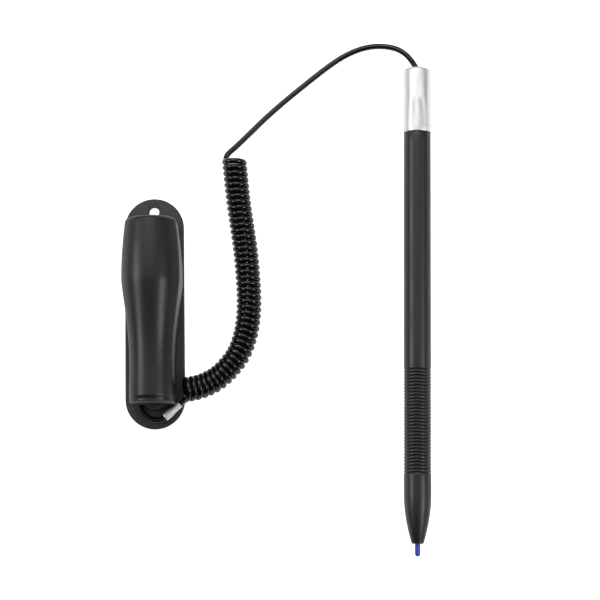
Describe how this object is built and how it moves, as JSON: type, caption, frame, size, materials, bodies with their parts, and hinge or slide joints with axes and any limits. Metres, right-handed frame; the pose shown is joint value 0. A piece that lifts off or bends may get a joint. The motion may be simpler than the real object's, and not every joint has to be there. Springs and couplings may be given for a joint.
{
  "type": "tethered touch-screen stylus",
  "caption": "Ribbed stylus pen on a thin curly cord, anchored to an elongated pen-holder sheath on an adhesive or screw-on backplate.",
  "frame": {"origin": "centre of the holder's adhesive face, which lies on the supporting surface", "axes": "+Z out of the adhesive face towards the holder's front, +Y towards the mouth of the pen cup, +X towards the side where the pen lies"},
  "size_m": [0.0925, 0.1538, 0.0213],
  "materials": {
    "foam_tape": "closed-cell foam tape",
    "plate_abs": "fine spark-eroded texture",
    "cup_abs": "satin with a fine texture",
    "screw_steel": "zinc plated",
    "cord_polyurethane": "glossy extruded jacket",
    "ferrule_aluminium": "pressed, bright",
    "stop_brass": "turned",
    "cap_aluminium": "fine turned, clear anodised",
    "plug_abs": "moulded",
    "barrel_abs": "satin",
    "nib_acetal": "smooth moulded"
  },
  "bodies": {
    "holder": {"adhesive_pad": "foam_tape", "base_plate": "plate_abs", "pen_cup": "cup_abs", "cup_screw_upper": "screw_steel", "cup_screw_lower": "screw_steel"},
    "tether": {"cord_loop": "cord_polyurethane", "crimp_ferrule": "ferrule_aluminium", "cord_coil": "cord_polyurethane", "cord_lead": "cord_polyurethane"},
    "cord_end": {"cord_tip": "cord_polyurethane", "cord_stop": "stop_brass"},
    "pen": {"end_cap": "cap_aluminium", "cap_plug": "plug_abs", "barrel": "barrel_abs", "nib": "nib_acetal"}
  },
  "joints": [
    {"name": "tether_swing", "type": "hinge", "parent": "holder", "child": "tether", "pos_m": [0, -0.0257, 0.0035], "axis": [0, 0, 1], "range_deg": [-105, 6]},
    {"name": "pen_lift", "type": "slide", "parent": "tether", "child": "cord_end", "axis": [0, 0, 1], "range_m": [0, 0.12]},
    {"name": "pen_roll", "type": "hinge", "parent": "cord_end", "child": "pen", "pos_m": [0.07637, -0.07285, 0.00415], "axis": [0.022, 0.9998, 0], "continuous": true}
  ]
}
